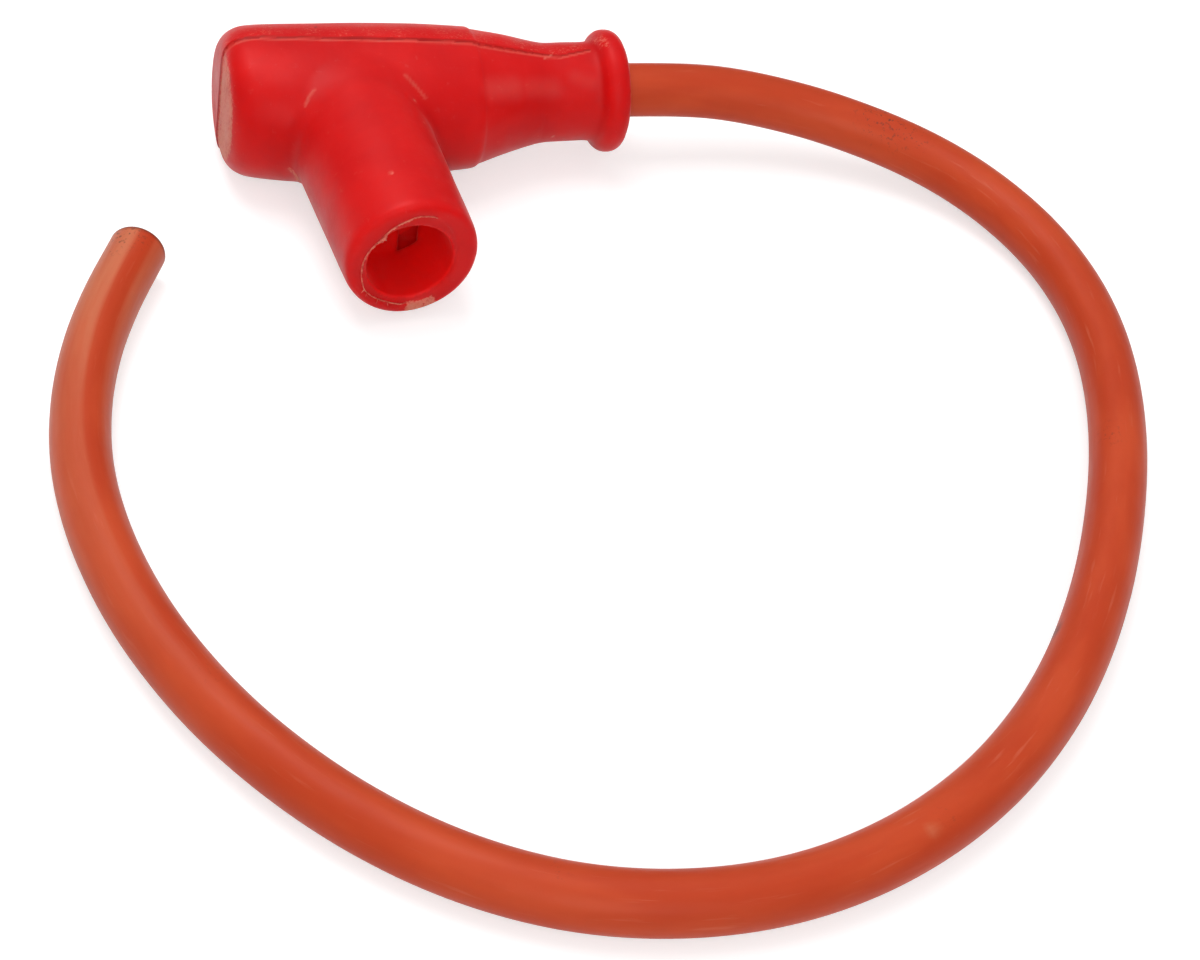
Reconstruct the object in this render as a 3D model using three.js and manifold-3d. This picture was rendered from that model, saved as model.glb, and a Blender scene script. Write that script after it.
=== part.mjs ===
import * as THREE from 'three';
import { mergeVertices } from 'three/addons/utils/BufferGeometryUtils.js';
import Module from 'manifold-3d';

// Spark plug wire: a moulded red silicone elbow cap with its contacts, and the orange cable in it.
// Millimetres, +Z up. The cap lies on its side, its plug branch along -Y and its body near +X.
// The origin is under the middle of the cap's box, at the level that it lies on.

const wasm = await Module();
wasm.setup();

// Where the branch axis meets the body axis, and the body's turn in plan
const ledge = 0.25;
const bodyRadius = 10.75;
const axisHeight = bodyRadius + ledge;
const crossX = -12.15;
const crossY = 12.91;
const bodyTurn = THREE.MathUtils.degToRad(-4.6);

// Shared clearance between pieces that meet
const fit = 0.3;

// Moulded cap
const bodyStart = -17.6;
const bodyEnd = 41.9;
const neckRadius = 7.32;
const beadRadius = 9.08;
const mouthEnd = 37.8;
const mouthRadius = 9.6;
const frontDepth = 0.25;
const plugBoreRadius = 6.2;
const plugBoreDepth = 10;

// Plug contact, in the branch
const contactRadius = 4.55;
const contactBack = -5.7;
const contactFront = 24.3;
const studHoleRadius = 2.2;
const clipSeat = 20.3;
const clipSeatHalf = 0.7;
const clipWireRadius = 0.4;
const springHoleRadius = 2.0;

// Resistor rod and its end caps, along the body
const resistorRadius = 2.45;
const endCapWall = 0.25;
const endCapFloor = 0.5;
const endCapLength = 2.3;
const endCapRadius = resistorRadius + fit + endCapWall;
const resistorCapsStart = 6.6;
const resistorCapsEnd = 17.4;

// Cable screw
const screwHeadRadius = 3.4;
const screwHeadStart = resistorCapsEnd + fit;
const screwHeadLength = 1.2;
const screwRoot = 0.78;
const screwCrest = 1.1;
const screwPitch = 1.6;
const screwTip = 31.2;

// Cable layers
const cableRadius = 4.0;
const jacketInner = 2.85;
const insulationRadius = jacketInner - fit;
const insulationInner = screwCrest + fit;
const conductorRadius = 1.1;
const conductorStart = 28.4;
const cableStart = 19.4;
const cableSteps = 46;
const cableSides = 12;

// The cable lies on the same level as the cap
const lieHeight = cableRadius + 0.05;

// Centre line of the cable beyond the cap, from the crossing of the axes, heights from the ground
const cableRoute = [
  [57.1, -5.1, 10.4],
  [69.5, -8.6, 8.7],
  [78.9, -13.3, 7.2],
  [85.9, -18.6, 6.1],
  [91.1, -24.6, 5.3],
  [94.9, -31.5, 4.7],
  [97.4, -39.3, 4.3],
  [98.4, -48.3, 4.1],
  [97.6, -58.9, lieHeight],
  [94.3, -71.7, lieHeight],
  [87.0, -88.6, lieHeight],
  [73.9, -109.9, lieHeight],
  [59.6, -126.5, lieHeight],
  [44.7, -138.1, lieHeight],
  [29.5, -145.2, lieHeight],
  [14.9, -148.2, lieHeight],
  [1.3, -147.5, lieHeight],
  [-11.4, -143.6, lieHeight],
  [-23.0, -136.3, lieHeight],
  [-33.5, -125.4, lieHeight],
  [-42.6, -110.6, lieHeight],
  [-48.5, -94.4, lieHeight],
  [-51.1, -78.7, lieHeight],
  [-51.0, -64.8, lieHeight],
  [-48.8, -52.7, lieHeight],
  [-45.1, -41.6, lieHeight],
  [-40.5, -31.9, lieHeight],
  [-34.4, -21.4, lieHeight],
];

// Solids, joins and cuts

function toSolid(geometry) {
  const bare = geometry.clone();
  bare.deleteAttribute('normal');
  bare.deleteAttribute('uv');
  const merged = mergeVertices(bare, 1e-4);
  const index = merged.index.array;
  const kept = [];
  for (let i = 0; i < index.length; i += 3) {
    const [a, b, c] = [index[i], index[i + 1], index[i + 2]];
    if (a !== b && b !== c && a !== c) kept.push(a, b, c);
  }
  return new wasm.Manifold(new wasm.Mesh({
    numProp: 3,
    vertProperties: new Float32Array(merged.attributes.position.array),
    triVerts: new Uint32Array(kept),
  }));
}

function toGeometry(solid) {
  const mesh = solid.getMesh();
  const geometry = new THREE.BufferGeometry();
  geometry.setAttribute('position', new THREE.BufferAttribute(new Float32Array(mesh.vertProperties), 3));
  geometry.setIndex(new THREE.BufferAttribute(new Uint32Array(mesh.triVerts), 1));
  geometry.computeVertexNormals();
  return geometry;
}

function lathe(profile, segments) {
  return new THREE.LatheGeometry(profile.map(([r, h]) => new THREE.Vector2(r, h)), segments);
}

// Profiles of the body run along its own axis, from the closed end to the cable's exit
function onBody(geometry) {
  geometry.rotateZ(-Math.PI / 2);
  geometry.rotateZ(bodyTurn);
  geometry.translate(crossX, crossY, axisHeight);
  return geometry;
}

// Profiles of the branch run from the crossing to the mouth, along -Y
function onBranch(geometry) {
  geometry.rotateX(Math.PI);
  geometry.translate(crossX, crossY, axisHeight);
  return geometry;
}

function block(x0, x1, y0, y1, z0, z1) {
  const geometry = new THREE.BoxGeometry(x1 - x0, y1 - y0, z1 - z0);
  geometry.translate((x0 + x1) / 2, (y0 + y1) / 2, (z0 + z1) / 2);
  return geometry;
}

// A block in the body's own directions: along, across towards the back, and up
function blockOnBody(x0, x1, y0, y1, z0, z1) {
  const geometry = block(x0, x1, y0, y1, z0, z1);
  geometry.rotateZ(bodyTurn);
  geometry.translate(crossX, crossY, axisHeight);
  return geometry;
}

function ring(radius, sides) {
  const points = [];
  for (let i = 0; i < sides; i += 1) {
    const a = (i / sides) * Math.PI * 2;
    points.push(new THREE.Vector2(Math.cos(a) * radius, Math.sin(a) * radius));
  }
  return points;
}

function tube(path, steps, outer, inner, sides) {
  const shape = new THREE.Shape(ring(outer, sides));
  if (inner > 0) shape.holes.push(new THREE.Path(ring(inner, sides)));
  return new THREE.ExtrudeGeometry(shape, { steps, bevelEnabled: false, extrudePath: path });
}

// Moulded cap: body, neck, bead and branch are one moulding.
// The half behind the mould's parting plane stands out from the front half by a small ledge.
function bodyProfile(out) {
  const r = bodyRadius + out;
  const neckOut = out * 0.4;
  return [
    [0, bodyStart - out],
    [6.9, bodyStart - out],
    [8.5 + out * 0.5, -17.3 - out * 0.8],
    [9.7 + out * 0.8, -16.4 - out * 0.5],
    [r - 0.3, -15],
    [r - 0.05, -13.2],
    [r, -9],
    [r - 0.05, -2],
    [r - 0.25, 8],
    [r - 0.7, 15.5],
    [9.6 + out, 18.6],
    [8.95 + out, 21.8],
    [8.25 + out, 25],
    [7.68 + neckOut, 28],
    [neckRadius + 0.06, 30.8],
    [neckRadius, 33.5],
    [neckRadius + 0.06, 37.6],
    [7.75, 37.9],
    [8.45, 38.45],
    [8.9, 39.1],
    [beadRadius, 40.0],
    [8.95, 40.8],
    [8.5, 41.5],
    [7.8, bodyEnd],
    [0, bodyEnd],
  ];
}

// The front half, with the branch on it, is deeper than round
function bodySolid(out) {
  const geometry = lathe(bodyProfile(out), 44);
  const position = geometry.attributes.position;
  for (let i = 0; i < position.count; i += 1) {
    const s = position.getY(i);
    const rise = THREE.MathUtils.smoothstep(s, bodyStart, -9);
    const fall = 1 - THREE.MathUtils.smoothstep(s, 15, 30);
    if (position.getX(i) > 0) position.setX(i, position.getX(i) * (1 + frontDepth * rise * fall));
  }
  return toSolid(onBody(geometry));
}

const branchProfile = [
  [0, 0],
  [10.05, 0],
  [10.05, 12],
  [9.95, 20],
  [mouthRadius + 0.05, 34.8],
  [mouthRadius - 0.15, 36.5],
  [mouthRadius - 0.6, 37.4],
  [mouthRadius - 1.3, mouthEnd],
  [0, mouthEnd],
];

const plugBore = [
  [0, contactBack - fit],
  [contactRadius + fit, contactBack - fit],
  [contactRadius + fit, contactFront + fit],
  [plugBoreRadius, mouthEnd - plugBoreDepth],
  [plugBoreRadius, mouthEnd - 0.7],
  [plugBoreRadius + 0.35, mouthEnd - 0.15],
  [plugBoreRadius + 0.7, mouthEnd + 0.05],
  [plugBoreRadius + 0.7, mouthEnd + 2],
  [0, mouthEnd + 2],
];

const cableBore = [
  [0, 0],
  [endCapRadius + fit, 0],
  [endCapRadius + fit, resistorCapsEnd],
  [screwHeadRadius + fit, resistorCapsEnd + 0.01],
  [screwHeadRadius + fit, cableStart - 0.2],
  [cableRadius + fit, cableStart - 0.19],
  [cableRadius + fit, bodyEnd - 0.6],
  [cableRadius + fit + 0.35, bodyEnd],
  [cableRadius + fit + 0.35, bodyEnd + 2],
  [0, bodyEnd + 2],
];

const backSpace = blockOnBody(-40, 60, 0, 40, -40, 40);
const capSolid = bodySolid(0)
  .add(bodySolid(ledge).intersect(toSolid(backSpace)))
  .add(toSolid(onBranch(lathe(branchProfile, 44))))
  .subtract(toSolid(onBranch(lathe(plugBore, 32))))
  .subtract(toSolid(onBody(lathe(cableBore, 32))));

// Plug contact: a turned brass socket with a seat for its clip and a side hole for the spring
const contactProfile = [
  [0, contactBack],
  [contactRadius - 0.5, contactBack],
  [contactRadius, contactBack + 0.5],
  [contactRadius, clipSeat - clipSeatHalf],
  [2.9, clipSeat - clipSeatHalf],
  [2.9, clipSeat + clipSeatHalf],
  [contactRadius, clipSeat + clipSeatHalf],
  [contactRadius, contactFront - 0.4],
  [contactRadius - 0.4, contactFront],
  [studHoleRadius + 0.9, contactFront],
  [studHoleRadius, contactFront - 1.1],
  [studHoleRadius, 12.3],
  [0, 11.2],
];

const slotLow = block(-6, 6, -clipSeat - clipSeatHalf, -clipSeat + clipSeatHalf, -6, -1.3);
const slotHigh = block(-6, 6, -clipSeat - clipSeatHalf, -clipSeat + clipSeatHalf, 1.3, 6);
slotLow.translate(crossX, crossY, axisHeight);
slotHigh.translate(crossX, crossY, axisHeight);
const springHole = [
  [0, 1.2],
  [springHoleRadius, 1.2],
  [springHoleRadius, 8],
  [0, 8],
];
const contactSolid = toSolid(onBranch(lathe(contactProfile, 28)))
  .subtract(toSolid(slotLow))
  .subtract(toSolid(slotHigh))
  .subtract(toSolid(onBody(lathe(springHole, 20))));

// Wire clip: two legs across the stud hole, joined by a bend
const clipPath = new THREE.CatmullRomCurve3([
  [-3.3, 2.0],
  [-1.5, 2.0],
  [0.3, 2.0],
  [1.9, 2.0],
  [3.31, 1.41],
  [3.9, 0],
  [3.31, -1.41],
  [1.9, -2.0],
  [0.3, -2.0],
  [-1.5, -2.0],
  [-3.3, -2.0],
].map(([x, z]) => new THREE.Vector3(crossX + x, crossY - clipSeat, axisHeight + z)), false, 'centripetal');
const clipGeometry = tube(clipPath, 26, clipWireRadius, 0, 8);

// Contact spring between the socket and the resistor
class Helix extends THREE.Curve {
  constructor(radius, from, to, turns) {
    super();
    this.radius = radius;
    this.from = from;
    this.to = to;
    this.turns = turns;
  }

  getPoint(t, target = new THREE.Vector3()) {
    const a = t * this.turns * Math.PI * 2;
    const s = this.from + (this.to - this.from) * t;
    return target.set(s, Math.cos(a) * this.radius, Math.sin(a) * this.radius);
  }
}

const springGeometry = tube(new Helix(1.35, 1.85, 5.95, 3.5), 56, 0.3, 0, 6);
springGeometry.rotateZ(bodyTurn);
springGeometry.translate(crossX, crossY, axisHeight);

// Resistor rod and the two metal caps pressed on its ends
const resistorGeometry = onBody(lathe([
  [0, resistorCapsStart + endCapFloor + fit],
  [resistorRadius - 0.2, resistorCapsStart + endCapFloor + fit],
  [resistorRadius, resistorCapsStart + endCapFloor + fit + 0.2],
  [resistorRadius, resistorCapsEnd - endCapFloor - fit - 0.2],
  [resistorRadius - 0.2, resistorCapsEnd - endCapFloor - fit],
  [0, resistorCapsEnd - endCapFloor - fit],
], 24));

const innerCapGeometry = onBody(lathe([
  [0, resistorCapsStart],
  [endCapRadius - 0.3, resistorCapsStart],
  [endCapRadius, resistorCapsStart + 0.3],
  [endCapRadius, resistorCapsStart + endCapLength],
  [resistorRadius + fit, resistorCapsStart + endCapLength],
  [resistorRadius + fit, resistorCapsStart + endCapFloor],
  [0, resistorCapsStart + endCapFloor],
], 24));

const outerCapGeometry = onBody(lathe([
  [0, resistorCapsEnd - endCapFloor],
  [resistorRadius + fit, resistorCapsEnd - endCapFloor],
  [resistorRadius + fit, resistorCapsEnd - endCapLength],
  [endCapRadius, resistorCapsEnd - endCapLength],
  [endCapRadius, resistorCapsEnd - 0.3],
  [endCapRadius - 0.3, resistorCapsEnd],
  [0, resistorCapsEnd],
], 24));

// Cable screw: a flat head against the resistor and a tapered thread that bites the conductor
function threadGeometry(start, end) {
  const rows = 40;
  const sides = 14;
  const positions = [];
  for (let i = 0; i <= rows; i += 1) {
    const s = start + ((end - start) * i) / rows;
    const taper = Math.min(1, (end - s) / 4.2);
    for (let j = 0; j < sides; j += 1) {
      const turn = s / screwPitch - j / sides;
      const f = turn - Math.floor(turn);
      const height = Math.max(0, 1 - Math.abs(f - 0.5) / 0.34);
      const r = 0.08 + (screwRoot - 0.08 + (screwCrest - screwRoot) * height) * taper;
      const a = (j / sides) * Math.PI * 2;
      positions.push(s, Math.cos(a) * r, Math.sin(a) * r);
    }
  }
  const startHub = positions.length / 3;
  positions.push(start, 0, 0);
  positions.push(end, 0, 0);
  const index = [];
  for (let i = 0; i < rows; i += 1) {
    for (let j = 0; j < sides; j += 1) {
      const a = i * sides + j;
      const b = i * sides + ((j + 1) % sides);
      index.push(a, b, b + sides, a, b + sides, a + sides);
    }
  }
  for (let j = 0; j < sides; j += 1) {
    const k = (j + 1) % sides;
    index.push(startHub, k, j);
    index.push(startHub + 1, rows * sides + j, rows * sides + k);
  }
  const geometry = new THREE.BufferGeometry();
  geometry.setAttribute('position', new THREE.Float32BufferAttribute(positions, 3));
  geometry.setIndex(index);
  return geometry;
}

const threadShape = threadGeometry(screwHeadStart + screwHeadLength - 0.3, screwTip);
threadShape.rotateZ(bodyTurn);
threadShape.translate(crossX, crossY, axisHeight);
const screwHead = onBody(lathe([
  [0, screwHeadStart],
  [screwHeadRadius - 0.25, screwHeadStart],
  [screwHeadRadius, screwHeadStart + 0.25],
  [screwHeadRadius, screwHeadStart + screwHeadLength - 0.25],
  [screwHeadRadius - 0.25, screwHeadStart + screwHeadLength],
  [0, screwHeadStart + screwHeadLength],
], 24));
const screwSolid = toSolid(screwHead).add(toSolid(threadShape));

// Cable: jacket, insulation and stranded conductor on one centre line
const bodyPoints = [cableStart, 27, 34, 39, 43.5].map((s) => new THREE.Vector3(
  crossX + Math.cos(bodyTurn) * s,
  crossY + Math.sin(bodyTurn) * s,
  axisHeight,
));
const routePoints = cableRoute.map(([x, y, z]) => new THREE.Vector3(crossX + x, crossY + y, z));
const cablePath = new THREE.CatmullRomCurve3([...bodyPoints, ...routePoints], false, 'centripetal');
cablePath.arcLengthDivisions = 1200;

const jacketGeometry = tube(cablePath, cableSteps, cableRadius, jacketInner, cableSides);
const insulationGeometry = tube(cablePath, cableSteps, insulationRadius, insulationInner, cableSides);

// The conductor stops short of the screw's shank, and its end is opened by the screw's point
const screwRoom = blockOnBody(0, conductorStart, -6, 6, -6, 6);
const pointRoom = onBody(lathe([
  [0, conductorStart - 1],
  [0.82, conductorStart - 1],
  [0.8, conductorStart],
  [0.42, screwTip + 0.35],
  [0, screwTip + 0.4],
], 14));
const conductorSolid = toSolid(tube(cablePath, cableSteps, conductorRadius, 0, 10))
  .subtract(toSolid(screwRoom))
  .subtract(toSolid(pointRoom));

// Materials and meshes
const part = new THREE.Group();

function addMesh(name, geometry, color, roughness, metalness) {
  const material = new THREE.MeshStandardMaterial({ color, roughness, metalness });
  const mesh = new THREE.Mesh(geometry, material);
  mesh.name = name;
  part.add(mesh);
}

addMesh('cap_boot', toGeometry(capSolid), 0xc2211f, 0.5, 0);
addMesh('plug_contact', toGeometry(contactSolid), 0xb8924a, 0.35, 1);
addMesh('contact_clip', clipGeometry, 0xa9adb0, 0.3, 1);
addMesh('contact_spring', springGeometry, 0xa9adb0, 0.3, 1);
addMesh('resistor_rod', resistorGeometry, 0xd9d0bd, 0.7, 0);
addMesh('resistor_cap_inner', innerCapGeometry, 0xb4b7b9, 0.35, 1);
addMesh('resistor_cap_outer', outerCapGeometry, 0xb4b7b9, 0.35, 1);
addMesh('cable_screw', toGeometry(screwSolid), 0xb8924a, 0.35, 1);
addMesh('cable_jacket', jacketGeometry, 0xbf4a2c, 0.45, 0);
addMesh('cable_insulation', insulationGeometry, 0xe6e0d2, 0.6, 0);
addMesh('cable_conductor', toGeometry(conductorSolid), 0xb9b6ae, 0.4, 1);

export default part;
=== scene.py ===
import math

import bpy
import numpy as np
from mathutils import Matrix


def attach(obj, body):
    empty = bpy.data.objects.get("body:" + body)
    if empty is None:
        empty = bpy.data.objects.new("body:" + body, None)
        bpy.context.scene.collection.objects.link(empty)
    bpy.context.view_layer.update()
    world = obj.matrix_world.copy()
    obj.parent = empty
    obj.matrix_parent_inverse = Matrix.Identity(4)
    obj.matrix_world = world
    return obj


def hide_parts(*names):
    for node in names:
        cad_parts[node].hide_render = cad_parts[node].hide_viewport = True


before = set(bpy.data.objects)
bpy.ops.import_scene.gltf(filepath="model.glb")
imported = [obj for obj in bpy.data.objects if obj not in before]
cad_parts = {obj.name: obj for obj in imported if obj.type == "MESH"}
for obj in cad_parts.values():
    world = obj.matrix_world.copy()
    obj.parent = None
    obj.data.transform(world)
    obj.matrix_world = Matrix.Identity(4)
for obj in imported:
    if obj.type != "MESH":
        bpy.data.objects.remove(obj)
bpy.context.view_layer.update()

# Sizes below are in millimetres in the part's frame, and become metres in mesh_object.
MM = 0.001
# Where the axes of the body and the branch cross, and how the body is turned in the frame
CROSS = np.array([-12.15, 12.91, 11.0])
BODY_TURN = math.radians(-4.6)
ALONG = np.array([math.cos(BODY_TURN), math.sin(BODY_TURN), 0.0])
BACK = np.array([-math.sin(BODY_TURN), math.cos(BODY_TURN), 0.0])
UP = np.array([0.0, 0.0, 1.0])
CABLE_RADIUS = 4.0
JACKET_INNER = 2.85
INSULATION_RADIUS = 2.8
INSULATION_INNER = 1.4
# The conductor's wires: radius, length of one full twist, and where they start along the cable
STRAND_RADIUS = 0.215
STRAND_LAY = 16.0
STRAND_START = 9.0
# The body's radius, its end and the bead's along its axis, and how far its back half stands out
BODY_RADIUS = 10.75
BODY_END = -17.6
BEAD_END = 41.9
LEDGE = 0.25
# The branch's mouth, down from the crossing, its lead-in, and its socket, off centre aside and up
MOUTH = 37.8
LEAD_IN_DEPTH = 0.3
SOCKET_RADIUS = 6.2
BORE_OFF = (-0.3, -0.45)
# The recess in the socket's wall: its middle aside, down and up, and half its sizes
POCKET = (3.0, 25.9, -4.6)
POCKET_HALF = (1.4, 1.4, 2.6)
# The box and the cell size of the cap's skin
SKIN_LOW, SKIN_HIGH, SKIN_STEP = (-18.6, -39.2, -11.6), (42.6, 12.0, 11.6), 0.36
# Where the lamps aim, in metres
LOOP_MIDDLE = (0.02, -0.05, 0.0)

# Camera at the photograph's place
camera_data = bpy.data.cameras.new("camera")
camera_data.lens = 90.0
camera_data.sensor_width = 36.0
camera_data.clip_start = 0.01
camera_data.clip_end = 20.0
camera = bpy.data.objects.new("camera", camera_data)
bpy.context.scene.collection.objects.link(camera)
camera.matrix_world = Matrix((
    (0.936974, 0.119441, -0.328349, -0.127112),
    (-0.319462, 0.673452, -0.666638, -0.328377),
    (0.141503, 0.729518, 0.669164, 0.268619),
    (0.0, 0.0, 0.0, 1.0),
))
bpy.context.scene.camera = camera


# Mesh building

def mesh_object(name, points, faces, material, attributes=None):
    """A mesh piece from points in millimetres, riding on the part's only body."""
    mesh = bpy.data.meshes.new(name)
    faces = [list(map(int, face)) for face in faces]
    mesh.from_pydata((np.asarray(points, float) * MM).tolist(), [], faces)
    mesh.validate()
    mesh.shade_smooth()
    for key, values in (attributes or {}).items():
        values = np.asarray(values, np.float32)
        kind, field = ("FLOAT", "value") if values.ndim == 1 else ("FLOAT_VECTOR", "vector")
        mesh.attributes.new(key, kind, "POINT").data.foreach_set(field, values.ravel())
    mesh.materials.append(material)
    obj = bpy.data.objects.new(name, mesh)
    bpy.context.scene.collection.objects.link(obj)
    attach(obj, "root")
    return obj


def spline(points, per):
    """A smooth curve through the points, of the same kind as the solids' cable follows."""
    p = np.asarray(points, float)
    p = np.vstack([2 * p[0] - p[1], p, 2 * p[-1] - p[-2]])
    out = []
    t = np.linspace(0.0, 1.0, per, endpoint=False)[:, None]
    for a, b, c, d in zip(p[:-3], p[1:-2], p[2:-1], p[3:]):
        d0, d1, d2 = (max(np.linalg.norm(v) ** 0.5, 1e-4) for v in (b - a, c - b, d - c))
        m1 = (b - a) / d0 - (c - a) / (d0 + d1) + (c - b) / d1
        m2 = (c - b) / d1 - (d - b) / (d1 + d2) + (d - c) / d2
        m1, m2 = m1 * d1, m2 * d1
        square, cube = 3 * (c - b) - 2 * m1 - m2, 2 * (b - c) + m1 + m2
        out.append(b + m1 * t + square * t ** 2 + cube * t ** 3)
    out.append(p[-2:-1])
    return np.vstack(out)


def even(line, step):
    """The same line with points an even step apart, and the length up to each."""
    run = np.concatenate([[0.0], np.cumsum(np.linalg.norm(np.diff(line, axis=0), axis=1))])
    at = np.linspace(0.0, run[-1], max(2, round(run[-1] / step) + 1))
    return np.column_stack([np.interp(at, run, line[:, i]) for i in range(line.shape[1])]), at


def frames(line):
    """Tangent, side and up at each point of a line that never points straight up."""
    tangent = np.gradient(line, axis=0)
    tangent /= np.linalg.norm(tangent, axis=1)[:, None]
    side = np.cross(tangent, UP)
    side /= np.linalg.norm(side, axis=1)[:, None]
    return tangent, side, np.cross(side, tangent)


def smooth_step(x, low, high):
    """0 below low, 1 above high, and a smooth rise between."""
    t = np.clip((x - low) / (high - low), 0, 1)
    return t * t * (3 - 2 * t)


def rings_to_faces(rings, sides, first=0, flip=False):
    """Quads of a tube whose points are stored ring after ring."""
    i = np.arange(rings - 1)[:, None] * sides + first
    j = np.arange(sides)[None, :]
    k = (j + 1) % sides
    quads = np.stack([i + j, i + k, i + sides + k, i + sides + j], axis=-1).reshape(-1, 4)
    return quads[:, ::-1] if flip else quads


# Materials

def add_node(tree, kind, inputs=None, **settings):
    """A node with its settings, and a value or a link on each of its inputs."""
    n = tree.nodes.new(kind)
    for key, value in settings.items():
        setattr(n, key, value)
    for key, value in (inputs or {}).items():
        if isinstance(value, bpy.types.NodeSocket):
            tree.links.new(value, n.inputs[key])
        else:
            n.inputs[key].default_value = value
    return n


class Nodes:
    """A material's nodes, built by short calls."""

    def __init__(self, name):
        self.material = bpy.data.materials.new(name)
        self.material.use_nodes = True
        self.tree = self.material.node_tree
        self.tree.nodes.clear()
        self.out = self.tree.nodes.new("ShaderNodeOutputMaterial")

    def node(self, kind, inputs=None, **settings):
        return add_node(self.tree, kind, inputs, **settings)

    def math(self, operation, a, b=0.0, clamp=False):
        return self.node("ShaderNodeMath", {0: a, 1: b}, operation=operation, use_clamp=clamp).outputs[0]

    def ramp(self, value, low, high):
        """0 below low, 1 above high, or the other way round."""
        return self.node("ShaderNodeMapRange", {
            "Value": value, "From Min": low, "From Max": high,
        }, interpolation_type="SMOOTHSTEP").outputs["Result"]

    def between(self, noise, low, high):
        """A noise's usual values spread from low to high."""
        return self.node("ShaderNodeMapRange", {
            "Value": noise, "From Min": 0.3, "From Max": 0.7, "To Min": low, "To Max": high,
        }).outputs["Result"]

    def mix(self, factor, a, b):
        """From colour a to colour b. The sockets go by number, because their names repeat."""
        return self.node("ShaderNodeMix", {0: factor, 6: a, 7: b}, data_type="RGBA").outputs[2]

    def noise(self, vector, scale, detail=3.0, roughness=0.55):
        return self.node("ShaderNodeTexNoise", {
            "Vector": vector, "Scale": scale, "Detail": detail, "Roughness": roughness,
        }).outputs["Fac"]

    def attribute(self, name, output="Fac"):
        return self.node("ShaderNodeAttribute", attribute_name=name).outputs[output]

    def object_vector(self):
        return self.node("ShaderNodeTexCoord").outputs["Object"]

    def stretch(self, vector, scale):
        return self.node("ShaderNodeMapping", {"Vector": vector, "Scale": scale}).outputs["Vector"]

    def bump(self, height, strength, distance, normal=None):
        inputs = {"Height": height, "Strength": strength, "Distance": distance}
        if normal is not None:
            inputs["Normal"] = normal
        return self.node("ShaderNodeBump", inputs).outputs["Normal"]

    def principled(self, inputs):
        shader = self.node("ShaderNodeBsdfPrincipled", inputs)
        self.tree.links.new(shader.outputs[0], self.out.inputs["Surface"])
        return self.material


def boot_material():
    """Red moulded silicone: satin, cloudy, with frosted and pale marks, a painted glow in the socket,
    painted highlights partly over pale dusty bloom, and painted shade in creases.
    """
    n = Nodes("red_silicone")
    at = n.object_vector()
    cloud = n.noise(at, 90.0, 3.0)
    grain = n.noise(at, 1900.0, 2.0)
    speck = n.noise(at, 2300.0, 3.0, 0.75)
    base = n.mix(n.ramp(cloud, 0.35, 0.68), (0.66, 0.004, 0.005, 1), (0.74, 0.009, 0.009, 1))
    dust = n.math("MULTIPLY", n.ramp(n.noise(at, 700.0, 3.0, 0.7), 0.62, 0.74), 0.10)
    base = n.mix(dust, base, (0.78, 0.20, 0.16, 1))
    # Painted glow: the socket's inside is a brighter red, standing in for light through the silicone
    base = n.mix(n.attribute("socket"), base, (0.95, 0.012, 0.012, 1))
    spread = n.math("ADD", speck, n.math("MULTIPLY", n.attribute("frost"), 0.5))
    patches = n.math("SUBTRACT", n.noise(at, 330.0, 2.0), 0.5)
    spread = n.math("ADD", spread, n.math("MULTIPLY", patches, 0.35))
    broken = n.ramp(spread, 0.70, 1.02)
    pale = n.math("ADD", 0.40, n.math("MULTIPLY", n.attribute("frost"), 0.45))
    base = n.mix(n.math("MULTIPLY", broken, pale), base, (0.87, 0.30, 0.21, 1))
    # Painted highlight on the neck and painted reflection down the branch, partly over pale dusty bloom
    base = n.mix(n.attribute("painted_highlight_and_pale_marks"), base, (0.80, 0.11, 0.10, 1))
    # Painted shade: darker red in the parting's crease and in a small crease on the top
    base = n.mix(n.attribute("painted_crease_shade"), base, (0.30, 0.004, 0.004, 1))
    base = n.mix(n.attribute("flash"), base, (0.86, 0.30, 0.22, 1))
    rough = n.between(n.noise(at, 260.0, 3.0), 0.38, 0.50)
    rough = n.math("ADD", rough, n.math("MULTIPLY", broken, 0.25))
    normal = n.bump(grain, 0.08, 0.0002)
    normal = n.bump(n.noise(at, 420.0, 3.0), 0.10, 0.0004, normal)
    normal = n.bump(n.math("MULTIPLY", speck, n.attribute("frost")), 0.30, 0.0003, normal)
    return n.principled({
        "Base Color": base, "Roughness": rough, "Normal": normal,
        "IOR": 1.41, "Specular IOR Level": 0.24,
        "Subsurface Weight": 1.0, "Subsurface Radius": (1.0, 0.06, 0.05),
        "Subsurface Scale": 0.006, "Sheen Weight": 0.09, "Sheen Roughness": 0.25,
        "Sheen Tint": (1.0, 0.85, 0.8, 1.0),
    })


def torn_material():
    """The same silicone where it is torn thin: paler, with no depth to it."""
    n = Nodes("red_silicone_torn")
    at = n.object_vector()
    shade = n.ramp(n.noise(at, 1500.0, 3.0, 0.7), 0.38, 0.62)
    base = n.mix(shade, (0.70, 0.07, 0.05, 1), (0.86, 0.25, 0.17, 1))
    normal = n.bump(n.noise(at, 2400.0), 0.25, 0.0002)
    return n.principled({
        "Base Color": base, "Roughness": 0.5, "Normal": normal, "Specular IOR Level": 0.35,
    })


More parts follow.
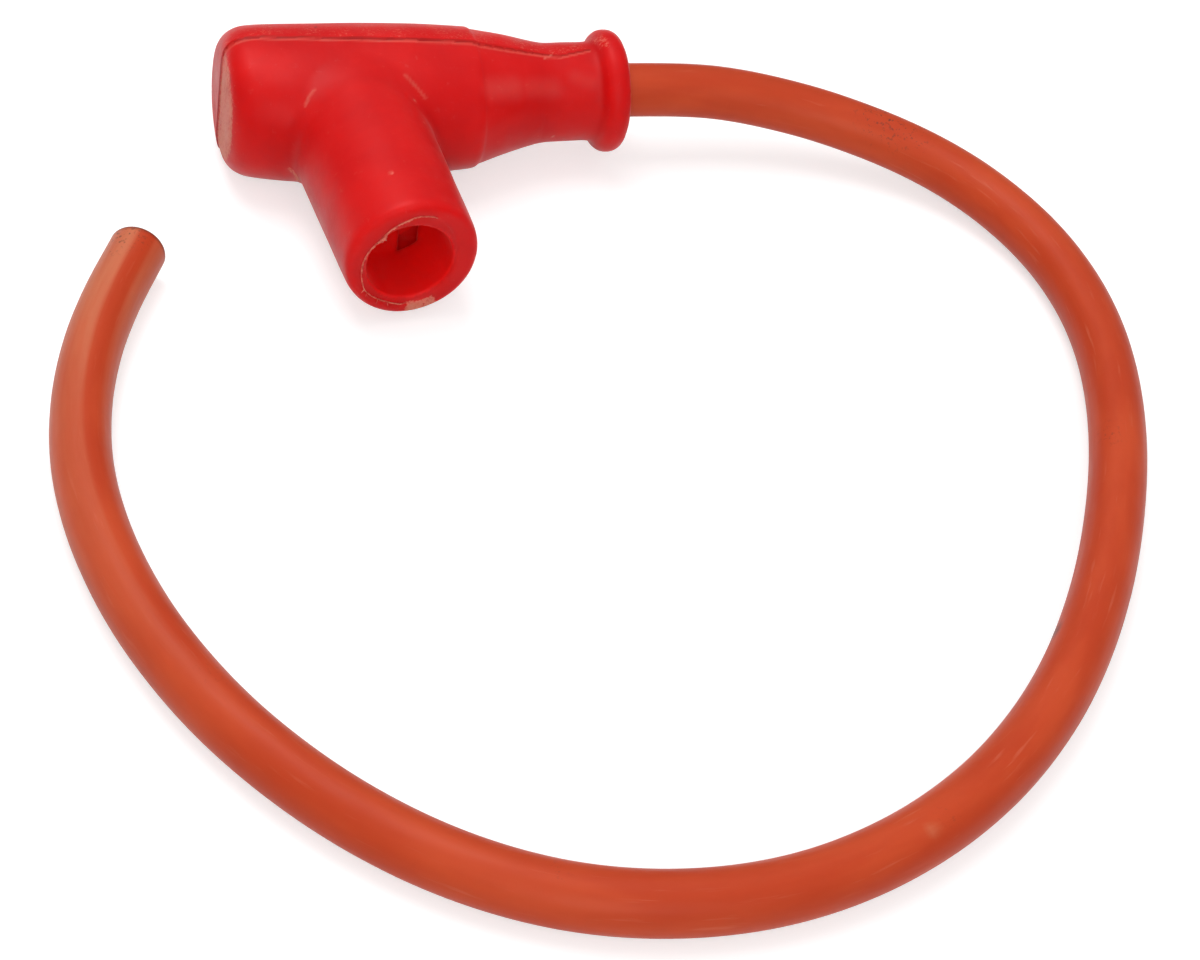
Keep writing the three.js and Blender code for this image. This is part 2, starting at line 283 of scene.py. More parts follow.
def jacket_material():
    """Orange silicone jacket: lengthwise scuffs, painted sheen near the cut, a pale scratch, dark specks,
    nick and cut edge.
    """
    n = Nodes("orange_silicone")
    at = n.attribute("cord", "Vector")
    long_way = n.stretch(at, (1.0, 1.0, 0.08))
    cloud = n.noise(n.stretch(at, (1.0, 1.0, 0.25)), 160.0, 3.0)
    scuff = n.noise(long_way, 1300.0, 3.0)
    base = n.mix(n.ramp(cloud, 0.35, 0.68), (0.56, 0.055, 0.014, 1), (0.64, 0.077, 0.022, 1))
    scuffed = n.math("MULTIPLY", n.ramp(scuff, 0.60, 0.78), 0.25)
    base = n.mix(scuffed, base, (0.74, 0.22, 0.13, 1))
    patchy = n.math("SUBTRACT", n.noise(long_way, 700.0, 4.0), 0.5)
    patchy = n.math("ADD", 0.80, n.math("MULTIPLY", patchy, 1.2))
    # Painted sheen near the cut, with the pale scratch in the same mark
    painted_highlight_and_pale_marks = n.math("MULTIPLY", n.attribute("painted_highlight_and_pale_marks"), patchy, clamp=True)
    base = n.mix(painted_highlight_and_pale_marks, base, (0.68, 0.195, 0.095, 1))
    base = n.mix(n.attribute("cut_edge"), base, (0.16, 0.03, 0.02, 1))
    dirt = n.ramp(n.noise(at, 1500.0, 3.0, 0.7), 0.56, 0.65)
    base = n.mix(n.math("MULTIPLY", dirt, n.attribute("dirt")), base, (0.10, 0.035, 0.025, 1))
    rough = n.between(scuff, 0.40, 0.52)
    normal = n.bump(scuff, 0.06, 0.0003)
    normal = n.bump(n.noise(at, 300.0, 2.0), 0.08, 0.0005, normal)
    return n.principled({
        "Base Color": base, "Roughness": rough, "Normal": normal,
        "IOR": 1.41, "Specular IOR Level": 0.26,
        "Subsurface Weight": 0.10, "Subsurface Radius": (1.0, 0.2, 0.1),
        "Subsurface Scale": 0.0015, "Sheen Weight": 0.10, "Sheen Roughness": 0.25,
        "Sheen Tint": (1.0, 0.85, 0.75, 1.0),
    })


def insulation_material():
    """Off-white insulation, matt and slightly mottled."""
    n = Nodes("white_insulation")
    at = n.object_vector()
    shade = n.ramp(n.noise(at, 800.0), 0.35, 0.7)
    base = n.mix(shade, (0.66, 0.62, 0.53, 1), (0.80, 0.77, 0.69, 1))
    normal = n.bump(n.noise(at, 2600.0), 0.25, 0.0002)
    return n.principled({"Base Color": base, "Roughness": 0.72, "Normal": normal})


def metal_material(name, dark, light, rough, streak):
    """Plain metal with tool marks or drawing marks, duller where it has tarnished."""
    n = Nodes(name)
    at = n.object_vector()
    tarnish = n.ramp(n.noise(at, 420.0, 4.0), 0.42, 0.7)
    marks = n.noise(n.stretch(at, streak), 2400.0, 2.0)
    base = n.mix(tarnish, light, dark)
    roughness = n.math("ADD", n.math("MULTIPLY", tarnish, 0.18), rough)
    normal = n.bump(marks, 0.15, 0.0001)
    return n.principled({
        "Base Color": base, "Metallic": 1.0, "Roughness": roughness, "Normal": normal,
    })


def ceramic_material():
    """Unglazed pale ceramic, slightly mottled."""
    n = Nodes("resistor_ceramic")
    at = n.object_vector()
    shade = n.ramp(n.noise(at, 900.0, 4.0), 0.4, 0.7)
    base = n.mix(shade, (0.62, 0.53, 0.39, 1), (0.74, 0.67, 0.54, 1))
    normal = n.bump(n.noise(at, 3000.0), 0.3, 0.0001)
    return n.principled({"Base Color": base, "Roughness": 0.62, "Normal": normal})


RED = boot_material()
TORN = torn_material()
ORANGE = jacket_material()
WHITE = insulation_material()
EVEN, ACROSS_Y, ACROSS_X = (1.0, 1.0, 1.0), (1.0, 0.1, 1.0), (0.1, 1.0, 1.0)
BRASS = metal_material("brass", (0.36, 0.22, 0.07, 1), (0.72, 0.52, 0.22, 1), 0.26, ACROSS_Y)
SPRING = metal_material("spring_steel", (0.25, 0.24, 0.23, 1), (0.58, 0.59, 0.60, 1), 0.24, EVEN)
PLATED = metal_material("plated_steel", (0.40, 0.40, 0.39, 1), (0.70, 0.71, 0.72, 1), 0.30, ACROSS_X)
TINNED = metal_material("tinned_copper", (0.42, 0.27, 0.18, 1), (0.68, 0.64, 0.58, 1), 0.30, EVEN)
CERAMIC = ceramic_material()


# Cable: the route of the solids, then the jacket, insulation and strands on it

# Points that the cable passes after the bead, in metres: across and back from the crossing, height
ROUTE = [
    (0.0571, -0.0051, 0.0104), (0.0695, -0.0086, 0.0087), (0.0789, -0.0133, 0.0072),
    (0.0859, -0.0186, 0.0061), (0.0911, -0.0246, 0.0053), (0.0949, -0.0315, 0.0047),
    (0.0974, -0.0393, 0.0043), (0.0984, -0.0483, 0.0041), (0.0976, -0.0589, 0.00405),
    (0.0943, -0.0717, 0.00405), (0.0870, -0.0886, 0.00405), (0.0739, -0.1099, 0.00405),
    (0.0596, -0.1265, 0.00405), (0.0447, -0.1381, 0.00405), (0.0295, -0.1452, 0.00405),
    (0.0149, -0.1482, 0.00405), (0.0013, -0.1475, 0.00405), (-0.0114, -0.1436, 0.00405),
    (-0.0230, -0.1363, 0.00405), (-0.0335, -0.1254, 0.00405), (-0.0426, -0.1106, 0.00405),
    (-0.0485, -0.0944, 0.00405), (-0.0511, -0.0787, 0.00405), (-0.0510, -0.0648, 0.00405),
    (-0.0488, -0.0527, 0.00405), (-0.0451, -0.0416, 0.00405), (-0.0405, -0.0319, 0.00405),
    (-0.0344, -0.0214, 0.00405),
]
INSIDE = [CROSS + s * ALONG for s in (19.4, 27.0, 34.0, 39.0, 43.5)]
OUTSIDE = [np.array([CROSS[0] + x / MM, CROSS[1] + y / MM, z / MM]) for x, y, z in ROUTE]
cable_line, cable_run = even(spline(INSIDE + OUTSIDE, 40), 1.0)


def tube_points(line, radius, sides):
    """Rings of points round a line, and their angles. The radius is one number or one for each ring."""
    _, side, up = frames(line)
    a = np.arange(sides) * 2 * math.pi / sides
    ring = np.cos(a)[None, :, None] * side[:, None, :] + np.sin(a)[None, :, None] * up[:, None, :]
    radius = np.broadcast_to(radius, len(line))[:, None, None]
    return (line[:, None, :] + radius * ring).reshape(-1, 3), a


def hollow_tube(line, run, outer, inner, sides, inner_sides, soften):
    """A closed tube with a bore, its edges softened. Returns points, faces and cord coordinates."""
    length = run[-1]
    ends = [0.0, soften * 0.3, soften, soften * 2.2]
    middle = run[(run > soften * 3) & (run < length - soften * 3)]
    at = np.concatenate([ends, middle, [length - e for e in ends[::-1]]])
    line = np.column_stack([np.interp(at, run, line[:, i]) for i in range(3)])
    from_end = np.minimum(at, length - at)
    inset = soften * (1 - np.sqrt(np.clip(1 - (1 - np.clip(from_end / soften, 0, 1)) ** 2, 0, 1)))
    out, a = tube_points(line, outer - inset, sides)
    hole, b = tube_points(line, inner + inset * 0.5, inner_sides)
    n = len(out)
    faces = list(rings_to_faces(len(line), sides, 0, True))
    faces += list(rings_to_faces(len(line), inner_sides, n))
    ratio = sides // inner_sides
    for base, flip in ((0, False), (len(line) - 1, True)):
        for j in range(inner_sides):
            k = (j + 1) % inner_sides
            edge = [base * sides + (j * ratio + q) % sides for q in range(ratio + 1)]
            face = edge + [n + base * inner_sides + k, n + base * inner_sides + j]
            faces.append(face[::-1] if flip else face)
    cord = np.vstack([
        np.column_stack([
            np.tile(np.cos(t) * r, len(at)), np.tile(np.sin(t) * r, len(at)), np.repeat(at, len(t)),
        ])
        for t, r in ((a, outer), (b, inner))
    ])
    return np.vstack([out, hole]), faces, cord * MM


jacket_points, jacket_faces, jacket_cord = hollow_tube(
    cable_line, cable_run, CABLE_RADIUS, JACKET_INNER, sides=48, inner_sides=24, soften=0.25,
)

# Dark specks on the jacket: millimetres from the bead, degrees from its side, reach, strength
SPECKS = [
    (42.3, 82.0, 5.5, 0.9), (46.0, 74.0, 4.0, 0.8), (120.0, 60.0, 3.0, 0.35),
    (386.5, 120.0, 4.6, 1.0), (387.0, 100.0, 3.6, 0.9),
    (250.0, 90.0, 2.0, 0.25), (200.0, 110.0, 2.0, 0.25), (300.0, 70.0, 3.0, 0.2),
]
# A dark nick and a pale scratch, at millimetres from the bead and degrees from the jacket's side
NICK = (160.2, 16.0)
SCRATCH = (203.3, 118.0)
# The cable's length inside the cap
BEAD_RUN = 22.5


def from_place(run, degrees, lengthwise):
    """How far each point of the jacket is from a place on it, in millimetres."""
    angle = math.radians(degrees)
    place = [math.cos(angle) * CABLE_RADIUS, math.sin(angle) * CABLE_RADIUS, run + BEAD_RUN]
    return np.linalg.norm((jacket_cord / MM - place) * [1.0, 1.0, lengthwise], axis=1)


jacket_dirt = np.zeros(len(jacket_cord))
for run, degrees, reach, strength in SPECKS:
    near = np.clip(1 - from_place(run, degrees, 0.8) / reach, 0, 1)
    jacket_dirt = np.maximum(jacket_dirt, strength * near)

# Painted sheen, pale over the last stretch on both sides of a band that stays red, and the dark cut edge
jacket_angle = np.degrees(np.arctan2(jacket_cord[:, 1], jacket_cord[:, 0]))
from_cut = cable_run[-1] - jacket_cord[:, 2] / MM
on_left = smooth_step(jacket_angle, 80.0, 92.0) + (jacket_angle < -90.0)
on_right = 0.62 * (1 - smooth_step(jacket_angle, 42.0, 56.0)) * (jacket_angle > -90.0)
along_painted_sheen = 0.35 + 0.65 * (1 - smooth_step(from_cut, 2.0, 50.0))
along_painted_sheen *= 1 - smooth_step(from_cut, 45.0, 110.0)
jacket_painted_sheen_and_scratch = (on_left + on_right) * along_painted_sheen
# The pale scratch goes into the same mark as the painted sheen
jacket_painted_sheen_and_scratch = np.maximum(jacket_painted_sheen_and_scratch, 0.6 * np.clip(1.3 - from_place(*SCRATCH, 1.0), 0, 1))
cut_edge = 0.9 * (1 - smooth_step(from_cut, 0.25, 0.75))
cut_edge = np.maximum(cut_edge, 0.8 * np.clip(1.5 - from_place(*NICK, 0.7), 0, 1))
jacket = mesh_object(
    "cable_jacket_skin", jacket_points, jacket_faces, ORANGE,
    {"cord": jacket_cord, "dirt": jacket_dirt, "painted_highlight_and_pale_marks": jacket_painted_sheen_and_scratch, "cut_edge": cut_edge},
)
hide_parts("cable_jacket")

insulation_points, insulation_faces, _ = hollow_tube(
    cable_line, cable_run, INSULATION_RADIUS, INSULATION_INNER, sides=32, inner_sides=16, soften=0.1,
)
insulation = mesh_object(
    "cable_insulation_core", insulation_points, insulation_faces, WHITE,
)
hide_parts("cable_insulation")


def strands(line, run, start, lay, radius):
    """Nineteen twisted wires, opened round the screw's point where the cable starts."""
    sides, opened, opening = 8, 3.4, 0.42
    keep = run >= start
    line, run = line[keep], run[keep]
    _, side, up = frames(line)
    points, faces = [], []
    for count, ring_radius in ((1, 0.0), (6, 2 * radius), (12, 4 * radius)):
        for w in range(count):
            turn = w * 2 * math.pi / count + (run - start) * 2 * math.pi / lay
            first = 0 if count > 1 else int(np.searchsorted(run, start + opened))
            open_up = np.clip(1 - (run - start) / opened, 0, 1)
            off = ring_radius + open_up * (opening if count == 6 else 0.0)
            centre = line + (np.cos(turn) * off)[:, None] * side
            centre = (centre + (np.sin(turn) * off)[:, None] * up)[first:]
            p, _ = tube_points(centre, radius, sides)
            base = len(points)
            points.extend(p.tolist())
            faces.extend(rings_to_faces(len(centre), sides, base, True).tolist())
            faces.append(list(range(base, base + sides)))
            faces.append(list(range(len(points) - sides, len(points)))[::-1])
    return points, faces


strand_points, strand_faces = strands(
    cable_line, cable_run, STRAND_START, STRAND_LAY, STRAND_RADIUS,
)
conductor = mesh_object("cable_strands", strand_points, strand_faces, TINNED)
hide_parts("cable_conductor")


# Elbow cap: one skin drawn round a distance field, with fillets where the branch meets the body

def half_profile(points, low, high, per=6):
    """A turned form's (radius, height) line, smooth between its flat ends."""
    middle = spline(points, per)
    return np.vstack([[0.0, low], middle, [0.0, high]])


class Turned:
    """Signed distance to a turned form, read from a table of radius and height."""

    def __init__(self, line, reach, low, high, step=0.1):
        self.low, self.step = low, step
        r = np.arange(0.0, reach + step, step)
        h = np.arange(low, high + step, step)
        rr, hh = np.meshgrid(r, h, indexing="ij")
        best = np.full(rr.shape, 1e9)
        for (r0, h0), (r1, h1) in zip(line[:-1], line[1:]):
            length = (r1 - r0) ** 2 + (h1 - h0) ** 2
            if length < 1e-12:
                continue
            t = np.clip(((rr - r0) * (r1 - r0) + (hh - h0) * (h1 - h0)) / length, 0, 1)
            best = np.minimum(best, (rr - r0 - t * (r1 - r0)) ** 2 + (hh - h0 - t * (h1 - h0)) ** 2)
        order = np.maximum.accumulate(line[:, 1] + np.arange(len(line)) * 1e-7)
        edge = np.interp(hh, order, line[:, 0])
        inside = (hh > line[0, 1]) & (hh < line[-1, 1]) & (rr < edge)
        self.table = np.where(inside, -1, 1) * np.sqrt(best)

    def __call__(self, r, h):
        a = np.clip(r / self.step, 0, self.table.shape[0] - 1.001)
        b = np.clip((h - self.low) / self.step, 0, self.table.shape[1] - 1.001)
        i, j = a.astype(int), b.astype(int)
        a, b = a - i, b - j
        t = self.table
        return (t[i, j] * (1 - a) * (1 - b) + t[i + 1, j] * a * (1 - b)
                + t[i, j + 1] * (1 - a) * b + t[i + 1, j + 1] * a * b)


def body_line(out):
    """The body's, neck's and bead's line. The back half stands out by the mould's ledge."""
    r = BODY_RADIUS + out
    neck_out = out * 0.4
    return half_profile([
        (6.9, BODY_END - out), (8.5 + out * 0.5, -17.3 - out * 0.8), (9.7 + out * 0.8, -16.4 - out * 0.5),
        (r - 0.3, -15.0), (r - 0.05, -13.2), (r, -9.0), (r - 0.05, -2.0), (r - 0.25, 8.0),
        (r - 0.6, 13.8), (9.88 + out, 17.6), (9.74 + out, 18.8), (9.48 + out, 19.2), (9.22 + out, 20.4),
        (8.38 + out, 24.6), (7.68 + neck_out, 28.2),
        (7.36, 30.4), (7.32, 33.5), (7.36, 37.2), (7.62, 37.75), (8.45, 38.35), (8.95, 39.1),
        (9.08, 40.0), (8.95, 40.8), (8.5, 41.5), (7.8, BEAD_END),
    ], BODY_END - out, BEAD_END)


front_form = Turned(body_line(0.0), 18.0, -22.0, 46.0)
back_form = Turned(body_line(LEDGE), 18.0, -22.0, 46.0)
branch_form = Turned(half_profile([
    (10.05, 0.0), (10.05, 12.0), (9.95, 20.0), (9.66, 34.8), (9.58, 36.6), (9.38, 37.35),
    (8.9, 37.76), (8.3, MOUTH),
], 0.0, MOUTH), 16.0, -8.0, 42.0)
plug_bore = Turned(np.array([
    (0.0, -6.0), (4.85, -5.99), (4.85, 24.6), (SOCKET_RADIUS, 27.8), (SOCKET_RADIUS, 40.9), (0.0, 41.0),
]), 12.0, -10.0, 46.0)
# Radius of the mouth's shallow lead-in at angles from the cable's side, through the top
LEAD_IN = np.array([
    (-60, 6.8), (-40, 6.4), (20, 6.4), (48, 6.9), (60, 7.3), (71, 7.6), (88, 7.6), (105, 7.15),
    (125, 6.8), (134, 6.55), (142, 6.5), (158, 6.9), (175, 7.2), (193, 7.45), (205, 7.7),
    (216, 7.95), (230, 7.85), (244, 7.7), (262, 7.8), (280, 7.3), (300, 6.8),
])
# The parting plane of the mould wanders a little along the body
PARTING = np.array([
    (BODY_END, 0.8), (-7.0, 0.1), (8.0, -0.6), (27.0, -0.8), (31.9, -1.1), (36.4, 0.2), (42.0, 0.2),
])
cable_bore = Turned(np.array([
    (0.0, 0.0), (3.3, 0.01), (3.3, 17.4), (3.7, 17.41), (3.7, 19.2), (4.08, 19.21), (4.08, 41.6),
    (4.3, 41.9), (4.3, 44.9), (0.0, 45.0),
]), 10.0, -4.0, 50.0)


def soft_min(a, b, k):
    """The lower of two distances, with a fillet of about k between them."""
    h = np.clip(k - np.abs(a - b), 0, None) / k
    return np.minimum(a, b) - h * h * k / 4


def soft_max(a, b, k):
    """The higher of two distances, rounded by about k where they meet."""
    return -soft_min(-a, -b, k)


def branch_axes(s, v):
    """The body's axes turned to the branch's: down to the mouth, and aside towards the cable."""
    down = math.sin(-BODY_TURN) * s - math.cos(BODY_TURN) * v
    return down, math.cos(BODY_TURN) * s + math.sin(-BODY_TURN) * v


def lead_in_radius(degrees):
    """The radius of the mouth's lead-in at an angle."""
    return np.interp(degrees, LEAD_IN[:, 0], LEAD_IN[:, 1])


def parting_at(s):
    """How far back the mould's parting runs, at a place along the body."""
    return np.interp(s, PARTING[:, 0], PARTING[:, 1])


def boot_field(s, v, w):
    """Distance to the cap's skin at (along the body, towards the back, up), in millimetres."""
    # The body is up to a quarter deeper in front, and its back half stands out by the ledge
    depth = 1 + 0.25 * smooth_step(s, BODY_END, -6.0) * (1 - np.clip((s - 18.0) / 11.0, 0, 1))
    ahead = np.where(v < 0, v / depth, v)
    rho = np.sqrt(ahead ** 2 + w ** 2)
    body = front_form(rho, s)
    behind = np.maximum(back_form(np.sqrt(v ** 2 + w ** 2), s), parting_at(s) - v)
    down, aside = branch_axes(s, v)
    around = np.sqrt(aside ** 2 + w ** 2)
    branch = branch_form(around, down)
    fillet = 0.3 + 1.5 * smooth_step(-v, 1.0, 8.0)
    skin = soft_min(np.minimum(body, behind), branch, fillet)
    # Moulded silicone is never quite even
    skin = skin + 0.03 * np.sin(s * 0.55 + 1.0) * np.sin(v * 0.47 + w * 0.31)
    turn = (np.degrees(np.arctan2(w, aside)) + 60) % 360 - 60
    lead_in = np.maximum(around - lead_in_radius(turn), MOUTH - LEAD_IN_DEPTH - down)
    skin = soft_max(skin, -lead_in, 0.15)
    # The socket is off centre at its mouth alone, and the contact's hole behind it is true
    off = smooth_step(down, 24.5, 28.5)
    from_axis = np.hypot(aside - BORE_OFF[0] * off, w - BORE_OFF[1] * off)
    skin = soft_max(skin, -plug_bore(from_axis, down), 0.3)
    # The recess leans aside with depth
    middle_aside, middle_down, middle_up = POCKET
    half_aside, half_down, half_up = POCKET_HALF
    pocket_aside = np.abs(aside + 0.34 * (down - 26.5) - middle_aside) - half_aside
    pocket_up = np.abs(w - middle_up) - half_up
    pocket_down = np.abs(down - middle_down) - half_down
    pocket = np.maximum(pocket_aside, np.maximum(pocket_up, pocket_down))
    skin = soft_max(skin, -pocket, 1.0)
    return soft_max(skin, -cable_bore(np.sqrt(v ** 2 + w ** 2), s), 0.25)


def skin_mesh(field, low, high, step):
    """Closed quads over the field's zero, one point in each cell that the skin crosses."""
    axes = [np.arange(a, b + step, step) for a, b in zip(low, high)]
    grid = np.stack(np.meshgrid(*axes, indexing="ij"), axis=-1)
    value = field(grid[..., 0], grid[..., 1], grid[..., 2])
    inside = value < 0
    shape = tuple(n - 1 for n in value.shape)
    corners = [(i, j, k) for i in (0, 1) for j in (0, 1) for k in (0, 1)]
    view = {c: tuple(slice(o, o + n) for o, n in zip(c, shape)) for c in corners}
    count = sum(inside[view[c]].astype(np.int8) for c in corners)
    cell = np.argwhere((count > 0) & (count < 8))
    number = np.full(shape, -1, int)
    number[tuple(cell.T)] = np.arange(len(cell))
    total, hits = np.zeros((len(cell), 3)), np.zeros(len(cell))
    for a in corners:
        for axis in range(3):
            if a[axis]:
                continue
            b = tuple(1 if i == axis else o for i, o in enumerate(a))
            pa, pb = tuple((cell + a).T), tuple((cell + b).T)
            va, vb = value[pa], value[pb]
            cut = (va < 0) != (vb < 0)
            t = np.where(cut, va / np.where(cut, va - vb, 1.0), 0.0)
            place = cell + np.array(a) + t[:, None] * (np.array(b) - np.array(a))
            total += np.where(cut[:, None], place, 0.0)
            hits += cut
    point = np.array(low) + step * total / hits[:, None]
    centre = np.array(low) + step * (cell + 0.5)
    # Each point is drawn onto the skin, but stays near its cell
    stride, leeway = 0.3 * step, 0.6 * step
    for _ in range(4):
        f, g = field_and_slope(field, point)
        move = -f[:, None] * g / np.maximum((g ** 2).sum(1), 0.05)[:, None]
        point = point + np.clip(move, -stride, stride)
        point = np.clip(point, centre - leeway, centre + leeway)
    quads = []
    for axis in range(3):
        p, q = [i for i in range(3) if i != axis]
        edge = np.diff(inside.astype(np.int8), axis=axis)
        at = np.argwhere(edge != 0)
        at = at[(at[:, p] > 0) & (at[:, q] > 0) & (at[:, p] < shape[p]) & (at[:, q] < shape[q])]
        sign = edge[tuple(at.T)]
        round_edge = []
        for dp, dq in ((1, 1), (0, 1), (0, 0), (1, 0)):
            near = at.copy()
            near[:, p] -= dp
            near[:, q] -= dq
            round_edge.append(number[tuple(near.T)])
        quad = np.stack(round_edge, axis=1)
        turn = (sign > 0) == (axis == 1)
        quads.append(np.where(turn[:, None], quad, quad[:, ::-1]))
    return point, np.vstack(quads)


def field_and_slope(field, point):
    """The field at each point, and how it changes along each axis."""
    e = 0.02
    slope = []
    for axis in range(3):
        step = np.zeros(3)
        step[axis] = e
        slope.append((field(*(point + step).T) - field(*(point - step).T)) / (2 * e))
    return field(*point.T), np.stack(slope, axis=1)


boot_local, boot_faces = skin_mesh(boot_field, SKIN_LOW, SKIN_HIGH, SKIN_STEP)
s_of, v_of, w_of = boot_local.T
boot_points = CROSS + s_of[:, None] * ALONG + v_of[:, None] * BACK + w_of[:, None] * UP

# Marks on the silicone: kind, reach, strength, points at (along the body, towards the back, up)
MARKS_ON_CAP = [
    ("flash", 0.34, 0.30, [(-7.7, -10.6, 6.7), (-7.1, -9.7, 7.6), (-6.3, -9.0, 8.3)]),
    ("flash", 0.40, 0.22, [(7.2, -7.0, 9.0), (8.5, -8.4, 8.0), (9.8, -9.8, 6.9)]),
    ("flash", 0.36, 0.28, [(-10.1, -13.3, 0.8), (-10.2, -13.3, -1.0), (-9.6, -13.0, -3.0)]),
    ("flash", 0.25, 0.45, [(29.4, -1.6, 7.3), (30.6, -0.9, 7.3)]),
    ("flash", 0.30, 0.50, [(30.9, -6.7, -3.1), (30.9, -6.6, -3.3)]),
    ("flash", 0.30, 0.55, [(8.0, -11.0, 7.3), (8.0, -11.0, 7.4)]),
    ("flash", 0.30, 0.45, [(8.3, -16.0, 7.1), (8.4, -16.0, 7.1)]),
    ("flash", 0.30, 0.45, [(9.9, -20.3, 5.5), (9.9, -20.4, 5.5)]),
    ("flash", 0.35, 0.70, [(0.5, -30.2, 9.5), (0.6, -30.3, 9.5)]),
    # A dark dot painted as the shade of a small crease on the top
    ("painted_crease_shade", 0.35, 0.90, [(-4.0, 3.2, 10.5), (-4.0, 3.3, 10.5)]),
    ("frost", 1.1, 0.80, [(-9.6, -13.0, -3.0), (-8.6, -13.4, -3.9), (-7.7, -11.7, -6.1)]),
    ("frost", 2.4, 0.20, [(-13.9, -7.5, 8.0), (-9.7, -9.3, 7.7)]),
    ("frost", 1.8, 0.22, [(3.0, -33.6, 9.6), (4.6, -34.8, 9.4)]),
    ("frost", 1.6, 0.55, [(37.8, 3.0, 7.1), (38.5, 1.6, 8.4), (38.7, -0.5, 8.7)]),
    # Painted highlights along the neck's cone
    ("painted_highlight_and_pale_marks", 3.0, 0.34, [(20.6, -8.0, 6.9), (24.0, -7.0, 6.2)]),
    ("painted_highlight_and_pale_marks", 2.6, 0.26, [(26.3, -6.3, 5.5), (30.0, -5.6, 4.8)]),
    ("painted_highlight_and_pale_marks", 2.0, 0.22, [(33.6, -4.4, 5.7), (36.0, -5.0, 5.3)]),
    # Painted reflection down the branch's right side, partly pale dusty bloom
    ("painted_highlight_and_pale_marks", 4.0, 0.45, [(9.0, -15.0, 3.2), (9.2, -23.0, 2.4), (9.2, -31.0, 2.0)]),
    ("frost", 1.6, 0.45, [(-7.9, -20.0, -0.5), (-7.9, -24.8, 0.1), (-8.2, -30.9, -1.3)]),
]
down_of, aside_of = branch_axes(s_of, v_of)

marks = {kind: np.zeros(len(boot_local)) for kind in ("frost", "painted_highlight_and_pale_marks", "painted_crease_shade", "flash")}
for kind, reach, strength, points in MARKS_ON_CAP:
    for a, b in zip(np.array(points[:-1]), np.array(points[1:])):
        t = np.clip((boot_local - a) @ (b - a) / ((b - a) @ (b - a)), 0, 1)[:, None]
        apart = np.linalg.norm(boot_local - a - t * (b - a), axis=1)
        core = 0.0 if kind == "painted_highlight_and_pale_marks" else 0.3
        shade = strength * smooth_step(-apart, -reach, -core * reach)
        marks[kind] = np.maximum(marks[kind], shade)

# Frost on the left end face, along the top behind the parting, and on the lower rim of the mouth
past_parting = v_of - parting_at(s_of)
end_face = 0.30 * smooth_step(-s_of, 15.8, 17.3) + 0.62 * smooth_step(-s_of, 17.26, 17.5)
end_face *= 0.30 + 0.70 * smooth_step(-past_parting, -0.1, 0.3)
top_band = 0.40 * smooth_step(past_parting, 0.1, 0.6) * smooth_step(w_of, 2.0, 7.0)
top_band *= s_of < 36.5
mouth_angle = np.degrees(np.arctan2(w_of, aside_of))
mouth_radius = np.hypot(aside_of, w_of)
rim_patch = (
    smooth_step(down_of, 35.6, 36.4) * smooth_step(mouth_radius, 7.2, 7.6)
    * smooth_step(mouth_angle, -97.0, -88.0) * (1 - smooth_step(mouth_angle, -62.5, -61.0))
)
marks["frost"] = np.maximum.reduce([marks["frost"], end_face, top_band, rim_patch])

# A brighter red painted in the socket as the glow of light through the silicone, and the parting's crease
# darkened as painted shade, with a pale edge along the top
from_axis = np.hypot(aside_of - BORE_OFF[0], w_of - BORE_OFF[1])
marks["socket"] = (1 - smooth_step(from_axis, 6.25, 6.5)) * smooth_step(down_of, 20.0, 24.0)
along_parting = s_of < 37.0
# The parting's crease is painted shade
parting_painted_shade = 0.75 * smooth_step(-np.abs(past_parting - 0.05), -0.3, -0.05) * along_parting
marks["painted_crease_shade"] = np.maximum(marks["painted_crease_shade"], parting_painted_shade)
parting_flash = 0.30 * smooth_step(-np.abs(past_parting + 0.35), -0.3, -0.05) * along_parting
marks["flash"] = np.maximum(marks["flash"], parting_flash * (w_of > 0))
boot = mesh_object("cap_skin", boot_points, boot_faces, RED, marks)
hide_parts("cap_boot")


